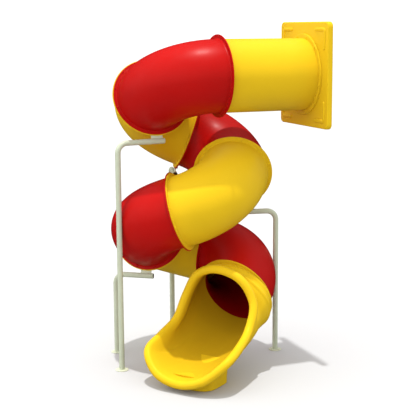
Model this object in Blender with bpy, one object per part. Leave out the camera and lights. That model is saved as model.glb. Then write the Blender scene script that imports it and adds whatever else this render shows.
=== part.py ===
"""Spiral tube slide for a play tower: panel, entry tube, seven elbows, exit chute and four bent posts.

Metres, +Z up, ground at z = 0. The elbows are one moulding used seven times: each is a plane bend
with a bolted flange at both ends, and the spiral comes from how far each is turned in its flange.
"""
import math

import bmesh
import bpy
import numpy as np

# Tube, flanges and fits
TUBE_OUTER_RADIUS = 0.390
WALL = 0.010
TUBE_INNER_RADIUS = TUBE_OUTER_RADIUS - WALL
FLANGE_RADIUS = 0.438
# An elbow's lower flange is a little smaller, so a rim of the next piece shows round it
LOWER_FLANGE_RADIUS = 0.429
FLANGE_THICKNESS = 0.011
GAP = 0.0003
TUBE_SIDES = 24

# Spiral
FIRST_JOINT_HEIGHT = 3.196
ELBOW_BEND = math.radians(92.2)
ELBOW_RADIUS = 0.552
ELBOW_STEPS = 8
ELBOW_TWISTS = [math.radians(angle) for angle in (24.0, 24.5, 48.5, 41.0, 41.0, 27.5, 44.5)]

# Entry tube and entrance panel
ENTRY_LENGTH = 1.004
PANEL_SIDE = 1.128
PANEL_THICKNESS = 0.063
PANEL_CORNER_RADIUS = 0.055
PANEL_EDGE_ROUNDING = 0.012
PANEL_CORNER_STEPS = 4
PANEL_SIDE_STEPS = 6
COLLAR_THICKNESS = 0.020
RIB_INSET = 0.055
RIB_LEG = 0.230
RIB_WIDTH = 0.032
RIB_HEIGHT = 0.018

# Exit chute: stations of its rim from the hood's top to the lip's front, as forward, sideways and
# up from the centre of its flange, with forward level along its heading
EXIT_COLUMNS = 48
EXIT_RIM = (
    (0.405, 0.000, 0.335),
    (0.370, 0.270, 0.240),
    (0.365, 0.420, -0.005),
    (0.520, 0.450, -0.245),
    (0.780, 0.480, -0.370),
    (1.050, 0.470, -0.475),
    (1.175, 0.280, -0.650),
    (1.195, 0.000, -0.720),
)
RIM_SAMPLES = 160
WALL_ROWS = 7
SIDE_BULGE = 0.42
FLOOR_DEPARTURE = 1.5
HOOD_ARRIVAL = 0.6
FLOOR_ARRIVAL = 1.0
RIM_FLARE = math.radians(30.0)
LIP_LIFT = math.radians(22.0)
RIM_ROLL_RADIUS = 0.047
RIM_ROLL_BACK = math.radians(150.0)
RIM_ROLL_INSIDE = math.radians(-90.0)
RIM_ROLL_STEPS = 9
RIM_ROLL_RUN = 0.075
RIDGE_HEIGHT = 0.013
# Collar behind the flange: it swells at the sides only, and has two ridges all round. Each row is a
# distance from the flange with its shares of the swell and of the ridge
COLLAR_SWELL = 0.045
COLLAR_ROWS = (
    (0.025, 0.90, 0.0),
    (0.048, 1.00, 1.0),
    (0.070, 1.00, 0.0),
    (0.092, 1.00, 0.0),
    (0.114, 1.00, 1.0),
    (0.138, 0.88, 0.0),
    (0.185, 0.52, 0.0),
    (0.240, 0.00, 0.0),
)
FOOT_BACK = 0.580
FOOT_FRONT = 1.070
FOOT_HALF_WIDTH = 0.280
FOOT_TAPER = 0.030
FOOT_CORNER_RADIUS = 0.150
FOOT_CORNER_STEPS = 5
FOOT_TOP_BACK = 0.400
FOOT_TOP_FRONT = 0.240
# Point over the bowl's mouth, from the flange's centre: whatever of the foot lies under it and
# inside the wall is cut away
BOWL_TOP = (1.100, 0.000, 0.200)

# Posts: each holds one joint, with its arm turned a little out of the flange's plane
PIPE_RADIUS = 0.030
PIPE_BEND_RADIUS = 0.105
PIPE_SIDES = 16
PIPE_BEND_STEPS = 6
ARM_DROP = 0.062
ARM_OVERRUN = 0.080
CAP_THICKNESS = 0.006
BASE_RADIUS = 0.072
BASE_THICKNESS = 0.008
BRACKET_WIDTH = 0.130
BRACKET_THICKNESS = 0.008
BRACKET_LAP = 0.032
POSTS = {
    2: {"reach": 0.470, "swing": math.radians(10.5)},
    3: {"reach": 0.460, "swing": math.radians(0.0)},
    4: {"reach": 0.495, "swing": math.radians(13.0)},
    6: {"reach": 0.365, "swing": math.radians(4.5)},
}

UP = np.array([0.0, 0.0, 1.0])
SHARP_ANGLE = math.radians(35.0)


def unit(vector):
    return vector / np.linalg.norm(vector)


def material(name, colour, roughness, metallic=0.0):
    made = bpy.data.materials.new(name)
    made.use_nodes = True
    shader = made.node_tree.nodes["Principled BSDF"]
    shader.inputs["Base Color"].default_value = (*colour, 1.0)
    shader.inputs["Roughness"].default_value = roughness
    shader.inputs["Metallic"].default_value = metallic
    return made


def add_object(name, mesh, surface):
    """Links a mesh as one object, with its normals outward and its round faces smooth."""
    work = bmesh.new()
    work.from_mesh(mesh)
    bmesh.ops.recalc_face_normals(work, faces=work.faces)
    work.to_mesh(mesh)
    work.free()
    mesh.shade_smooth()
    mesh.set_sharp_from_angle(angle=SHARP_ANGLE)
    mesh.materials.append(surface)
    thing = bpy.data.objects.new(name, mesh)
    bpy.context.collection.objects.link(thing)
    thing.parent = slide
    return thing


def ring_mesh(name, rings, closed):
    """Joins rings of equal point counts: last ring to first if closed, else with capped ends."""
    rings = np.asarray(rings)
    count, sides = rings.shape[:2]
    faces = []
    for i in range(count if closed else count - 1):
        for j in range(sides):
            k = (j + 1) % sides
            after = (i + 1) % count
            faces.append((i * sides + j, i * sides + k, after * sides + k, after * sides + j))
    if not closed:
        faces.append(tuple(range(sides)))
        faces.append(tuple((count - 1) * sides + j for j in range(sides)))
    mesh = bpy.data.meshes.new(name)
    mesh.from_pydata(rings.reshape(-1, 3).tolist(), [], faces)
    return mesh


def ring(centre, first, second, radius, sides):
    """Circle round a centre, in the plane of two unit vectors."""
    angle = np.linspace(0.0, 2.0 * math.pi, sides, endpoint=False)[:, None]
    return centre + radius * (np.cos(angle) * first + np.sin(angle) * second)


def as_cutter(thing):
    thing.hide_render = True
    thing.display_type = "WIRE"
    return thing


def boolean(thing, other, operation):
    step = thing.modifiers.new(operation.lower(), "BOOLEAN")
    step.operation = operation
    step.solver = "EXACT"
    step.object = other


def spiral_joints():
    """Follows the elbows down: each joint's centre, heading and the next elbow's bend direction."""
    centre = np.array([0.0, 0.0, FIRST_JOINT_HEIGHT])
    heading = np.array([-1.0, 0.0, 0.0])
    inward = np.array([0.0, 1.0, 0.0])
    joints = []
    for twist in ELBOW_TWISTS:
        inward = math.cos(twist) * inward + math.sin(twist) * np.cross(heading, inward)
        joints.append((centre, heading, inward))
        centre, heading, inward = along_elbow(centre, heading, inward, ELBOW_BEND)
        centre = centre + FLANGE_THICKNESS * heading
    joints.append((centre, heading, inward))
    return joints


def along_elbow(centre, heading, inward, angle):
    """Point, heading and bend direction after a straight end and an angle of bend."""
    start = centre + FLANGE_THICKNESS * heading
    point = start + ELBOW_RADIUS * (math.sin(angle) * heading + (1.0 - math.cos(angle)) * inward)
    ahead = math.cos(angle) * heading + math.sin(angle) * inward
    across = -math.sin(angle) * heading + math.cos(angle) * inward
    return point, ahead, across


def elbow(number, joint, next_joint, surface):
    centre, heading, inward = joint
    far_centre, far_heading = next_joint[:2]
    side = np.cross(heading, inward)
    stations = [along_elbow(centre, heading, inward, ELBOW_BEND * i / ELBOW_STEPS)
                for i in range(ELBOW_STEPS + 1)]
    far_inward = stations[-1][2]

    def near(distance, radius):
        return ring(centre + distance * heading, inward, side, radius, TUBE_SIDES)

    def far(distance, radius):
        return ring(far_centre - distance * far_heading, far_inward, side, radius, TUBE_SIDES)

    def bend(i, radius):
        return ring(stations[i][0], stations[i][2], side, radius, TUBE_SIDES)

    rings = [near(GAP / 2, TUBE_INNER_RADIUS), near(GAP / 2, FLANGE_RADIUS)]
    rings.append(near(FLANGE_THICKNESS, FLANGE_RADIUS))
    rings += [bend(i, TUBE_OUTER_RADIUS) for i in range(ELBOW_STEPS + 1)]
    rings.append(far(FLANGE_THICKNESS, LOWER_FLANGE_RADIUS))
    rings += [far(GAP / 2, LOWER_FLANGE_RADIUS), far(GAP / 2, TUBE_INNER_RADIUS)]
    rings += [bend(i, TUBE_INNER_RADIUS) for i in range(ELBOW_STEPS - 1, 0, -1)]
    name = f"elbow_{number}"
    return add_object(name, ring_mesh(name, rings, True), surface)


def entry_tube(surface):
    """Straight tube from the panel to the first joint."""
    length = ENTRY_LENGTH - GAP
    rings = [ring(np.array([x, 0.0, FIRST_JOINT_HEIGHT]), np.array([0.0, 1.0, 0.0]), UP, radius, TUBE_SIDES)
             for x, radius in ((GAP / 2, TUBE_INNER_RADIUS), (GAP / 2, TUBE_OUTER_RADIUS),
                               (length, TUBE_OUTER_RADIUS), (length, TUBE_INNER_RADIUS))]
    return add_object("entry_tube", ring_mesh("entry_tube", rings, True), surface)


def entry_collar(surface):
    """Flat ring that clamps the entry tube's end to the panel."""
    inner = TUBE_OUTER_RADIUS + GAP
    back = ENTRY_LENGTH - GAP
    front = back - COLLAR_THICKNESS
    rings = [ring(np.array([x, 0.0, FIRST_JOINT_HEIGHT]), np.array([0.0, 1.0, 0.0]), UP, radius, TUBE_SIDES)
             for x, radius in ((front, inner), (front, FLANGE_RADIUS), (back, FLANGE_RADIUS), (back, inner))]
    return add_object("entry_collar", ring_mesh("entry_collar", rings, True), surface)


def rounded_square(half, corner, corner_steps, side_steps):
    """Outline of a square with round corners, as y and z about its centre."""
    points = []
    middle = half - corner
    for quarter in range(4):
        start = quarter * math.pi / 2.0
        turn = np.array([[math.cos(start), -math.sin(start)], [math.sin(start), math.cos(start)]])
        for i in range(corner_steps + 1):
            angle = i * math.pi / 2.0 / corner_steps
            points.append(turn @ np.array([middle + corner * math.cos(angle), middle + corner * math.sin(angle)]))
        for i in range(1, side_steps):
            points.append(turn @ np.array([middle - 2.0 * middle * i / side_steps, half]))
    return np.array(points)


def entrance_panel(surface):
    """Square plate with a round way through and a raised corner rib in each corner."""
    half = PANEL_SIDE / 2.0
    outline = rounded_square(half, PANEL_CORNER_RADIUS, PANEL_CORNER_STEPS, PANEL_SIDE_STEPS)
    inset = outline * (half - PANEL_EDGE_ROUNDING) / half
    angle = np.arctan2(outline[:, 1], outline[:, 0])
    hole = TUBE_INNER_RADIUS * np.stack([np.cos(angle), np.sin(angle)], 1)

    def level(flat, x):
        return np.stack([np.full(len(flat), x), flat[:, 0], flat[:, 1] + FIRST_JOINT_HEIGHT], 1)

    front = ENTRY_LENGTH
    back = ENTRY_LENGTH + PANEL_THICKNESS
    rings = [level(hole, front), level(inset, front), level(outline, front + PANEL_EDGE_ROUNDING),
             level(outline, back - PANEL_EDGE_ROUNDING), level(inset, back), level(hole, back)]
    panel = add_object("entrance_panel", ring_mesh("entrance_panel", rings, True), surface)
    outer = half - RIB_INSET
    shape = np.array([(outer, outer), (outer - RIB_LEG, outer), (outer - RIB_LEG, outer - RIB_WIDTH),
                      (outer - RIB_WIDTH, outer - RIB_WIDTH), (outer - RIB_WIDTH, outer - RIB_LEG),
                      (outer, outer - RIB_LEG)])
    sink = 0.5 * PANEL_EDGE_ROUNDING
    for number in range(4):
        start = number * math.pi / 2.0
        turn = np.array([[math.cos(start), -math.sin(start)], [math.sin(start), math.cos(start)]])
        flat = shape @ turn.T
        rib = ring_mesh(f"rib_{number}", [level(flat, front + sink), level(flat, front - RIB_HEIGHT)], False)
        boolean(panel, as_cutter(add_object(f"rib_{number}", rib, surface)), "UNION")
    return panel


def smooth_through(stations, place):
    """Reads a curve through evenly spaced stations whose two ends mirror across the exit's middle plane."""
    stations = np.asarray(stations)
    mirror = np.array([1.0, -1.0, 1.0])
    points = np.vstack([stations[1] * mirror, stations, stations[-2] * mirror])
    scaled = np.clip(place, 0.0, 1.0) * (len(stations) - 1)
    index = np.minimum(scaled.astype(int), len(stations) - 2)
    part = (scaled - index)[:, None]
    before, start, end, after = points[index], points[index + 1], points[index + 2], points[index + 3]
    return 0.5 * (2.0 * start + (end - before) * part
                  + (2.0 * before - 5.0 * start + 4.0 * end - after) * part ** 2
                  + (3.0 * start - before - 3.0 * end + after) * part ** 3)


def rim_places(count):
    """Places on the half rim, from its lip back to the hood's top, that share its length evenly."""
    fine = np.linspace(0.0, 1.0, RIM_SAMPLES)
    steps = np.linalg.norm(np.diff(smooth_through(EXIT_RIM, fine), axis=0), axis=1)
    run = np.concatenate([[0.0], np.cumsum(steps)])
    return np.interp(np.linspace(run[-1], 0.0, count), run, fine)


def exit_grid(joint, shares):
    """Middle surface of the chute: each column flows from its place on the flange to its place on the rim.

    Columns start at the floor and go round. The wall leaves the flange along its heading, fuller at
    the sides, and meets the rim's roll on its inner side. Returns points and outward normals as rows
    by columns, the rim's centres with the directions along and across the wall there, each column's
    length and how far it is to the side, and the exit's forward and sideways directions.
    """
    centre, heading = joint[:2]
    forward = unit(np.array([heading[0], heading[1], 0.0]))
    side = np.cross(UP, forward)
    down = unit(np.cross(heading, side))
    if down[2] > 0.0:
        down = -down
    angle = np.linspace(0.0, 2.0 * math.pi, EXIT_COLUMNS, endpoint=False)
    outward = np.cos(angle)[:, None] * down + np.sin(angle)[:, None] * side
    start = centre + 0.5 * (TUBE_INNER_RADIUS + TUBE_OUTER_RADIUS) * outward
    half_way = EXIT_COLUMNS // 2
    column = np.arange(EXIT_COLUMNS)
    places = rim_places(half_way + 1)[np.minimum(column, EXIT_COLUMNS - column)]
    rim = smooth_through(EXIT_RIM, places)
    rim[:, 1] *= np.where(angle > math.pi, -1.0, 1.0)
    rim = centre + rim[:, :1] * forward + rim[:, 1:2] * side + rim[:, 2:] * UP
    along_rim = unit_rows(np.roll(rim, -1, axis=0) - np.roll(rim, 1, axis=0))
    edge = unit_rows(np.cross(outward, along_rim))
    edge *= np.sign((edge @ forward)[0])
    wall = unit_rows(np.cross(along_rim, edge))
    wall *= np.sign((wall * outward).sum(1))[:, None]
    floorward = 0.5 * (1.0 + np.cos(angle))[:, None]
    lipward = floorward ** 3
    sideward = (np.sin(angle) ** 2)[:, None]
    flare = (1.0 - floorward) * RIM_FLARE - lipward * LIP_LIFT
    arrive = np.cos(flare) * edge + np.sin(flare) * wall
    across_rim = np.cos(flare) * wall - np.sin(flare) * edge
    end = rim - (RIM_ROLL_RADIUS - 0.5 * WALL) * across_rim
    length = np.linalg.norm(end - start, axis=1)[:, None]
    leave = (1.0 + (FLOOR_DEPARTURE - 1.0) * lipward) * length * (heading + SIDE_BULGE * sideward * outward)
    come = (HOOD_ARRIVAL + (FLOOR_ARRIVAL - HOOD_ARRIVAL) * lipward) * length * arrive
    rows = []
    for share in shares:
        t = share if np.ndim(share) == 0 else share[:, None]
        rows.append((2 * t ** 3 - 3 * t ** 2 + 1) * start + (t ** 3 - 2 * t ** 2 + t) * leave
                    + (3 * t ** 2 - 2 * t ** 3) * end + (t ** 3 - t ** 2) * come)
    rows = np.array(rows)
    along = np.gradient(rows, axis=0)
    around = np.roll(rows, -1, axis=1) - np.roll(rows, 1, axis=1)
    normal = np.cross(along, around)
    normal /= np.linalg.norm(normal, axis=2)[:, :, None]
    facing = np.sign((normal[0] * outward).sum())
    return rows, facing * normal, rim, (arrive, across_rim), (length[:, 0], sideward), (forward, side)


def exit_chute(joint, surface):
    """Scoop with a rolled rim, a ridged collar behind its flange and a foot under it, as one moulding."""
    centre, heading = joint[:2]
    reach, sideward = exit_grid(joint, [0.0, 1.0])[4]
    collar = np.array(COLLAR_ROWS)
    after = collar[-1, 0] / reach
    before_roll = 1.0 - RIM_ROLL_RUN / reach
    shares = [np.full(EXIT_COLUMNS, 0.0)] + [distance / reach for distance in collar[:, 0]]
    shares += [after + (before_roll - after) * part for part in np.linspace(0.0, 1.0, WALL_ROWS + 1)[1:]]
    shares.append(np.full(EXIT_COLUMNS, 1.0))
    rows, normal, rim, (arrive, across_rim), _, (forward, side) = exit_grid(joint, shares)
    normal[0] = unit_rows(np.cross(np.cross(heading, normal[0]), heading))
    half = 0.5 * WALL
    lift = np.zeros((len(shares), EXIT_COLUMNS, 1))
    lift[1:len(collar) + 1] = (collar[:, 1, None, None] * COLLAR_SWELL * sideward
                               + collar[:, 2, None, None] * RIDGE_HEIGHT)
    outer = rows + (half + lift) * normal
    inner = rows - half * normal

    def flange(distance, radius):
        return centre + distance * heading + radius * normal[0]

    roll = [rim + RIM_ROLL_RADIUS * (math.cos(a) * arrive + math.sin(a) * across_rim)
            for a in np.linspace(RIM_ROLL_BACK, RIM_ROLL_INSIDE, RIM_ROLL_STEPS)]
    rings = [flange(GAP / 2, TUBE_INNER_RADIUS), flange(GAP / 2, FLANGE_RADIUS),
             flange(FLANGE_THICKNESS, FLANGE_RADIUS), flange(FLANGE_THICKNESS, TUBE_OUTER_RADIUS)]
    rings += list(outer[1:-1]) + roll + list(inner[-2:0:-1])
    chute = add_object("exit_chute", ring_mesh("exit_chute", rings, True), surface)

    filler = ring_mesh("chute_filler", list(rows), False)
    bowl_top = centre + np.array(BOWL_TOP) @ np.array([forward, side, UP])
    filler = fan_ends(filler, EXIT_COLUMNS, (centre, bowl_top))
    filler = as_cutter(add_object("chute_filler", filler, surface))
    foot = as_cutter(add_object("chute_foot", foot_mesh(centre, forward, side), surface))
    boolean(foot, filler, "DIFFERENCE")
    boolean(chute, foot, "UNION")
    return chute


def unit_rows(vectors):
    return vectors / np.linalg.norm(vectors, axis=1)[:, None]


def fan_ends(mesh, sides, tips):
    """Replaces the first and last face of a capped ring mesh with fans that meet at the given tips."""
    work = bmesh.new()
    work.from_mesh(mesh)
    ends = [face for face in work.faces if len(face.verts) == sides]
    for face, tip in zip(ends, tips):
        bmesh.ops.poke(work, faces=[face])["verts"][0].co = tip
    work.to_mesh(mesh)
    work.free()
    return mesh


def foot_mesh(centre, forward, side):
    """Block with round corners, standing on the ground and wider towards its top."""
    base = np.array([centre[0], centre[1], 0.0])
    middle = 0.5 * (FOOT_BACK + FOOT_FRONT)
    half_length = 0.5 * (FOOT_FRONT - FOOT_BACK)
    corner = FOOT_CORNER_RADIUS
    rings = []
    for widen, top in ((0.0, False), (FOOT_TAPER, True)):
        points = []
        for quarter in range(4):
            sign_f = 1.0 if quarter in (0, 3) else -1.0
            sign_s = 1.0 if quarter in (0, 1) else -1.0
            for i in range(FOOT_CORNER_STEPS + 1):
                angle = (quarter + i / FOOT_CORNER_STEPS) * math.pi / 2.0
                f = middle + sign_f * (half_length + widen - corner) + corner * math.cos(angle)
                s = sign_s * (FOOT_HALF_WIDTH + widen - corner) + corner * math.sin(angle)
                share = (f - FOOT_BACK) / (FOOT_FRONT - FOOT_BACK)
                height = FOOT_TOP_BACK + share * (FOOT_TOP_FRONT - FOOT_TOP_BACK) if top else 0.0
                points.append(base + f * forward + s * side + height * UP)
        rings.append(points)
    return ring_mesh("chute_foot", rings, False)


def post(number, joint, post_surface, plate_surface):
    """Bent pipe under one joint, with its base plate, the bracket up to the flange and the arm's cap."""
    centre, heading = joint[:2]
    forward = unit(np.array([heading[0], heading[1], 0.0]))
    across = np.cross(UP, forward)
    flange_up = np.cross(heading, across)
    flange_up = flange_up if flange_up[2] > 0.0 else -flange_up
    arm_height = (centre - FLANGE_RADIUS * flange_up)[2] - ARM_DROP
    plate_top = centre - (FLANGE_RADIUS - BRACKET_LAP) * flange_up
    plate_face = plate_top + (FLANGE_THICKNESS + GAP) * heading
    plate_foot_height = arm_height + PIPE_RADIUS + GAP
    drop = (plate_face[2] - plate_foot_height) / flange_up[2]
    foot_middle = plate_face - drop * flange_up + 0.5 * BRACKET_THICKNESS * forward
    swing = POSTS[number]["swing"]
    away = math.cos(swing) * across - math.sin(swing) * forward
    crown = np.array([foot_middle[0], foot_middle[1], arm_height])
    foot_place = crown + POSTS[number]["reach"] * away

    bottom = np.array([foot_place[0], foot_place[1], BASE_THICKNESS + GAP])
    bend_middle = np.array([foot_place[0], foot_place[1], arm_height - PIPE_BEND_RADIUS]) - PIPE_BEND_RADIUS * away
    level_side = np.cross(UP, away)
    rings = [ring(bottom, away, level_side, PIPE_RADIUS, PIPE_SIDES)]
    for i in range(PIPE_BEND_STEPS + 1):
        angle = i * math.pi / 2.0 / PIPE_BEND_STEPS
        out = math.cos(angle) * away + math.sin(angle) * UP
        rings.append(ring(bend_middle + PIPE_BEND_RADIUS * out, out, level_side, PIPE_RADIUS, PIPE_SIDES))
    arm_end = crown - ARM_OVERRUN * away
    rings.append(ring(arm_end, UP, level_side, PIPE_RADIUS, PIPE_SIDES))
    add_object(f"post_{number}", ring_mesh(f"post_{number}", rings, False), post_surface)

    cap = [ring(arm_end - distance * away, UP, level_side, PIPE_RADIUS, PIPE_SIDES)
           for distance in (GAP, GAP + CAP_THICKNESS)]
    add_object(f"arm_cap_{number}", ring_mesh(f"arm_cap_{number}", cap, False), plate_surface)

    ground = np.array([foot_place[0], foot_place[1], 0.0])
    disc = [ring(ground + height * UP, away, level_side, BASE_RADIUS, TUBE_SIDES) for height in (0.0, BASE_THICKNESS)]
    add_object(f"base_plate_{number}", ring_mesh(f"base_plate_{number}", disc, False), plate_surface)

    half_width = 0.5 * BRACKET_WIDTH
    bracket = []
    for sign in (-1.0, 1.0):
        low = plate_face - drop * flange_up
        low_back = low + BRACKET_THICKNESS * forward / (forward @ heading)
        high_back = plate_face + BRACKET_THICKNESS * heading
        bracket.append([corner + sign * half_width * across for corner in (low, low_back, high_back, plate_face)])
    add_object(f"bracket_{number}", ring_mesh(f"bracket_{number}", bracket, False), plate_surface)


def rest_on_footprint():
    """Moves the slide so that the middle of its box stands over the frame's origin."""
    bpy.context.view_layer.update()
    graph = bpy.context.evaluated_depsgraph_get()
    points = []
    for thing in bpy.data.objects:
        if thing.type == "MESH" and not thing.hide_render:
            shape = thing.evaluated_get(graph)
            points += [shape.matrix_world @ vertex.co for vertex in shape.data.vertices]
    points = np.array(points)
    middle = 0.5 * (points.min(axis=0) + points.max(axis=0))
    slide.location = (-middle[0], -middle[1], 0.0)


for old in list(bpy.data.objects):
    bpy.data.objects.remove(old, do_unlink=True)

slide = bpy.data.objects.new("slide", None)
bpy.context.collection.objects.link(slide)

yellow = material("yellow_plastic", (0.93, 0.66, 0.03), 0.32)
red = material("red_plastic", (0.72, 0.02, 0.015), 0.30)
pipe = material("post_coating", (0.55, 0.58, 0.46), 0.45)
plate = material("plate_coating", (0.62, 0.64, 0.50), 0.45)

joints = spiral_joints()
entrance_panel(yellow)
entry_collar(yellow)
entry_tube(yellow)
for index in range(len(ELBOW_TWISTS)):
    elbow(index + 1, joints[index], joints[index + 1], red if index % 2 == 0 else yellow)
exit_chute(joints[-1], yellow)
for held in POSTS:
    post(held, joints[held - 1], pipe, plate)
rest_on_footprint()
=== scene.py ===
# %% [markdown]
# # A spiral tube slide, from packed facets to a finished look
#
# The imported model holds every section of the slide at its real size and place, as plain facets.
# This lesson puts a finely curved piece round each of them: moulded tube sections, an open chute,
# bent pipes, plates and bolts. Everything is in metres, with +Z up and the ground at zero.

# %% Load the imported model
import math

import bmesh
import bpy
import numpy as np
from mathutils import Matrix, Vector


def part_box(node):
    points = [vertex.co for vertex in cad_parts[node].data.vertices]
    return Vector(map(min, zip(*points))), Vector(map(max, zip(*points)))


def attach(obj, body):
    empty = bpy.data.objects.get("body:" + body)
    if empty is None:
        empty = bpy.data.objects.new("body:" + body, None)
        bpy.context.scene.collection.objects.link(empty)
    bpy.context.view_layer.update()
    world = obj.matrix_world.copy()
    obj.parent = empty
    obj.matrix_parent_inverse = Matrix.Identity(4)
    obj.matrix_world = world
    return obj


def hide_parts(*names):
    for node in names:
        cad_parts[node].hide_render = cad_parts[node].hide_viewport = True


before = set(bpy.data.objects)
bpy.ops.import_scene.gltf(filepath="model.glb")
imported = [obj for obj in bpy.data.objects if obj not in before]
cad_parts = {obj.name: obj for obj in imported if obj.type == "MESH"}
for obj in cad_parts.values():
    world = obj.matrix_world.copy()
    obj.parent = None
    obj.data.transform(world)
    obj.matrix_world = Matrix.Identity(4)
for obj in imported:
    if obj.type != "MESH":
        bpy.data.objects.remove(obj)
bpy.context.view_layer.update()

# %% [markdown]
# ## Where the spiral starts
#
# The straight entry tube ends in the plane of the first joint. That point is read from the packed
# model, and the camera and every later piece are placed from it, so they stay with the model.

# %% The first joint
GAP = 0.0003
tube_low, tube_high = (np.array(corner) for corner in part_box("entry_tube"))
panel_low, panel_high = (np.array(corner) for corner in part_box("entrance_panel"))
PANEL_MIDDLE = 0.5 * (panel_low + panel_high)


def on_entry_axis(x):
    """The point of the entry tube's level axis at a given x."""
    return np.array([x, PANEL_MIDDLE[1], PANEL_MIDDLE[2]])


FIRST_JOINT = on_entry_axis(tube_low[0] - GAP / 2)
print("first joint at", FIRST_JOINT.round(3))

# %% [markdown]
# ## The view
#
# The picture was taken from a little above the middle of the slide, with a long lens that keeps
# upright lines almost parallel. A camera could be aimed at a target by a constraint. Here its three
# axes are worked out from its heading, its tilt and a slight roll, which is exact and easy to check.

# %% The camera
CAMERA_PLACE = Vector(FIRST_JOINT) + Vector((-4.2512, -10.3390, 0.5079))
CAMERA_HEADING = math.radians(21.76)
CAMERA_TILT = math.radians(9.76)
CAMERA_ROLL = math.radians(-0.30)
CAMERA_LENS = 90.8
CAMERA_SENSOR = 36.0


def new_object(name, data):
    """An object of the scene that holds the given camera, lamp or mesh."""
    made = bpy.data.objects.new(name, data)
    bpy.context.scene.collection.objects.link(made)
    return made


def make_camera():
    """The view axis leans down by the tilt; right and up are turned about it by the roll."""
    ahead = Vector((math.sin(CAMERA_HEADING) * math.cos(CAMERA_TILT),
                    math.cos(CAMERA_HEADING) * math.cos(CAMERA_TILT), -math.sin(CAMERA_TILT)))
    level = Vector((math.cos(CAMERA_HEADING), -math.sin(CAMERA_HEADING), 0.0))
    upward = level.cross(ahead)
    right = math.cos(CAMERA_ROLL) * level + math.sin(CAMERA_ROLL) * upward
    top = right.cross(ahead)
    axes = Matrix((right, top, -ahead)).transposed().to_4x4()
    lens = bpy.data.cameras.new("photo_camera")
    lens.lens = CAMERA_LENS
    lens.sensor_width = CAMERA_SENSOR
    camera = new_object("photo_camera", lens)
    camera.matrix_world = Matrix.Translation(CAMERA_PLACE) @ axes
    bpy.context.scene.camera = camera


make_camera()
print("camera at", [round(value, 2) for value in CAMERA_PLACE])

# %% [markdown]
# ## The white studio
#
# The slide stands in an all-white studio. An image of a sky could light it, but plain white needs
# none. It gives the soft light and the white background, and only the sheens see another sky, one
# that fades to a dark horizon, so the plastic doesn't look milky.

# %% The sky
SKY_STRENGTH = 1.3
LEFT_SKY_STRENGTH = 2.2
SHEEN_SKY_STRENGTH = 0.30
SHEEN_SKY_LOW = 0.25
SHEEN_SKY_HIGH = 0.95


def map_range(tree, source, first, last, low, high):
    """Turns first to last into low to high along a straight line, and holds the values outside it."""
    made = tree.nodes.new("ShaderNodeMapRange")
    ends = {"From Min": first, "From Max": last, "To Min": low, "To Max": high}
    for socket, value in ends.items():
        made.inputs[socket].default_value = value
    tree.links.new(source, made.inputs["Value"])
    return made.outputs["Result"]


def chosen_by_ray(tree, kind):
    """A Mix node that gives its B to rays of one kind and its A to all others."""
    ray = tree.nodes.new("ShaderNodeLightPath")
    choice = tree.nodes.new("ShaderNodeMix")
    tree.links.new(ray.outputs[kind], choice.inputs["Factor"])
    return choice


def make_sky():
    """White all round, stronger towards the left. Sheens see it fade from overhead to a dark horizon."""
    world = bpy.data.worlds.new("studio")
    world.use_nodes = True
    world.cycles.sampling_method = "NONE"
    tree = world.node_tree
    place = tree.nodes.new("ShaderNodeTexCoord")
    way = tree.nodes.new("ShaderNodeSeparateXYZ")
    tree.links.new(place.outputs["Generated"], way.inputs["Vector"])
    seen = map_range(tree, way.outputs["X"], 0.0, -1.0, SKY_STRENGTH, LEFT_SKY_STRENGTH)
    in_sheens = map_range(tree, way.outputs["Z"], SHEEN_SKY_LOW, SHEEN_SKY_HIGH, 0.0, SHEEN_SKY_STRENGTH)
    choice = chosen_by_ray(tree, "Is Glossy Ray")
    tree.links.new(seen, choice.inputs["A"])
    tree.links.new(in_sheens, choice.inputs["B"])
    background = tree.nodes["Background"]
    tree.links.new(choice.outputs["Result"], background.inputs["Strength"])
    background.inputs["Color"].default_value = (1.0, 1.0, 1.0, 1.0)
    bpy.context.scene.world = world


make_sky()
print("sky strength", SKY_STRENGTH, "and", LEFT_SKY_STRENGTH, "on the left")

# %% [markdown]
# ### Sun and floor
#
# A sun almost overhead adds the bright crowns and the shadows under the spiral. The floor is pale
# grey, because in light this strong a middling grey already looks white. It throws less light back
# up than it shows, which keeps the undersides of the tubes dark.

# %% The sun and the floor
SUN_TRAVEL = Vector((0.02, 0.045, -1.0))
SUN_STRENGTH = 2.75
SUN_ANGLE = math.radians(1.5)
SUN_HEIGHT = 8.0
FLOOR_REACH = 120.0
FLOOR_SHOWN = 0.465
FLOOR_BOUNCE = 0.30
FLOOR_ROUGHNESS = 0.9


def make_sun():
    """One sun whose minus Z axis follows SUN_TRAVEL."""
    lamp = bpy.data.lights.new("sun", "SUN")
    lamp.energy = SUN_STRENGTH
    lamp.angle = SUN_ANGLE
    sun = new_object("sun", lamp)
    sun.rotation_mode = "QUATERNION"
    sun.rotation_quaternion = SUN_TRAVEL.to_track_quat("-Z", "Y")
    sun.location = (0.0, 0.0, SUN_HEIGHT)


def start_material(name):
    """A new material made of nodes, handed back with its node tree and its main shader."""
    made = bpy.data.materials.new(name)
    made.use_nodes = True
    return made, made.node_tree, made.node_tree.nodes["Principled BSDF"]


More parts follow.
